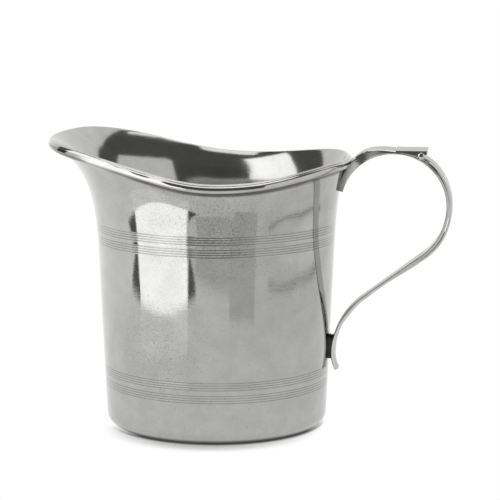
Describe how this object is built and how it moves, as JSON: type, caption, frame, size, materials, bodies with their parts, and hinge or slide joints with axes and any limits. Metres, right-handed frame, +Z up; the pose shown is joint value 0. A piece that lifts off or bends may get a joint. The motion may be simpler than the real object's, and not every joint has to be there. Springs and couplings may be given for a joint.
{
  "type": "pewter whisky pitcher",
  "caption": "Small tapered pewter jug with a flared lip, a broad drawn spout, engraved line bands and a scrolled strap handle with a thumb spur, for pouring water or whisky.",
  "frame": {"origin": "middle of the foot, on the surface that the pitcher stands on", "axes": "+Z up along the body's axis, +X towards the handle, -X towards the spout"},
  "size_m": [0.1531, 0.104, 0.1101],
  "materials": {
    "body_pewter": "hand-polished pewter with a light patina and fine turning lines",
    "base_pewter": "plain turned pewter, duller than the wall",
    "band_pewter": "polished half-round pewter",
    "handle_pewter": "cast pewter, polished on the faces and darker in the grooves",
    "strut_pewter": "filed pewter, dull and dark at the solder"
  },
  "bodies": {
    "root": {"body_wall": "body_pewter", "base_disc": "base_pewter", "rim_band": "band_pewter", "handle_strap": "handle_pewter", "thumb_spur": "handle_pewter", "lower_strut": "strut_pewter"}
  },
  "joints": []
}
